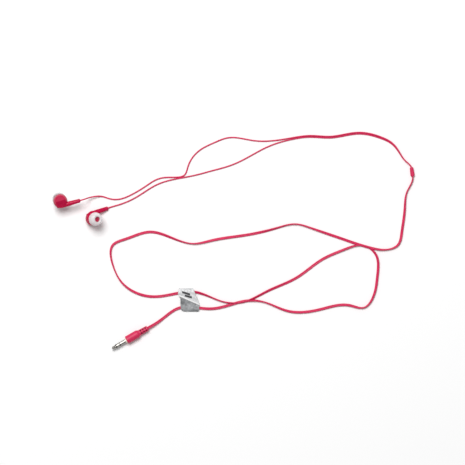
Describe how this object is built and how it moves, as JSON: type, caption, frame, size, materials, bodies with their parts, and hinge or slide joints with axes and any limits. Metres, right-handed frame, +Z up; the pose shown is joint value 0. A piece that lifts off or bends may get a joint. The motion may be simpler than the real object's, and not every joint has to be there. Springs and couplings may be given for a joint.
{
  "type": "wired earphones",
  "caption": "Wired in-ear earphones: round gloss housings with angled nozzles and soft tips, a Y-shaped cord with a moulded splitter, and a straight stereo plug, lying loose.",
  "frame": {"origin": "on the surface that the earphones lie on, below the middle of the two earbuds' box (the cords, splitter, plug and wrap left out)", "axes": "+Z up, away from the surface; +X along the longer side of the two earbuds' box, from the left earbud towards the splitter; +Y from the plug's side towards the splitter's side"},
  "size_m": [0.3295, 0.198, 0.0218],
  "materials": {
    "shell_red": "gloss moulded",
    "boot_red": "soft satin",
    "cord_red": "smooth satin",
    "splitter_red": "soft satin",
    "plug_red": "soft satin",
    "silicone_clear": "clear soft silicone",
    "mesh_steel": "fine woven mesh",
    "foam_dark": "open foam",
    "felt_grey": "thin felt",
    "driver_plastic": "moulded",
    "driver_steel": "pressed and plated",
    "magnet_nickel": "plated",
    "board_green": "solder mask",
    "cone_film": "thin film",
    "coil_copper": "enamelled copper",
    "core_cream": "moulded",
    "contact_nickel": "nickel plated",
    "insulator_black": "moulded",
    "film_clear": "clear film",
    "print_black": "printed ink"
  },
  "bodies": {
    "root": {"left_rear_shell": "shell_red", "left_front_shell": "shell_red", "left_stem_boot": "boot_red", "left_inner_lead": "cord_red", "left_vent_felt": "felt_grey", "left_nozzle_mesh": "mesh_steel", "left_nozzle_damper": "foam_dark", "left_driver_frame": "driver_plastic", "left_driver_yoke": "driver_steel", "left_driver_magnet": "magnet_nickel", "left_driver_top_plate": "driver_steel", "left_driver_board": "board_green", "left_driver_cover": "driver_steel", "right_rear_shell": "shell_red", "right_front_shell": "shell_red", "right_stem_boot": "boot_red", "right_inner_lead": "cord_red", "right_vent_felt": "felt_grey", "right_nozzle_mesh": "mesh_steel", "right_nozzle_damper": "foam_dark", "right_driver_frame": "driver_plastic", "right_driver_yoke": "driver_steel", "right_driver_magnet": "magnet_nickel", "right_driver_top_plate": "driver_steel", "right_driver_board": "board_green", "right_driver_cover": "driver_steel", "left_cord": "cord_red", "right_cord": "cord_red", "splitter": "splitter_red", "trunk_cord": "cord_red", "plug_handle": "plug_red", "plug_core": "core_cream", "plug_lead": "cord_red", "plug_wires": "coil_copper", "sleeve_contact": "contact_nickel", "ring_contact": "contact_nickel", "tip_contact": "contact_nickel", "pin_insulators": "insulator_black", "cord_wrap": "film_clear", "wrap_print": "print_black"},
    "left_tip": {"left_ear_tip": "silicone_clear"},
    "right_tip": {"right_ear_tip": "silicone_clear"},
    "left_cone": {"left_diaphragm": "cone_film", "left_voice_coil": "coil_copper"},
    "right_cone": {"right_diaphragm": "cone_film", "right_voice_coil": "coil_copper"}
  },
  "joints": [
    {"name": "left_tip_pull", "type": "slide", "parent": "root", "child": "left_tip", "axis": [-0.1005, 0.2754, -0.9561], "range_m": [0, 0.008]},
    {"name": "right_tip_pull", "type": "slide", "parent": "root", "child": "right_tip", "axis": [0.4087, -0.0543, 0.9111], "range_m": [0, 0.008]},
    {"name": "left_cone_travel", "type": "slide", "parent": "root", "child": "left_cone", "axis": [-0.0076, -0.0565, -0.9984], "range_m": [-0.00012, 0.00012], "stiffness_N_per_m": 10},
    {"name": "right_cone_travel", "type": "slide", "parent": "root", "child": "right_cone", "axis": [0.296, 0.2742, 0.915], "range_m": [-0.00012, 0.00012], "stiffness_N_per_m": 10}
  ]
}
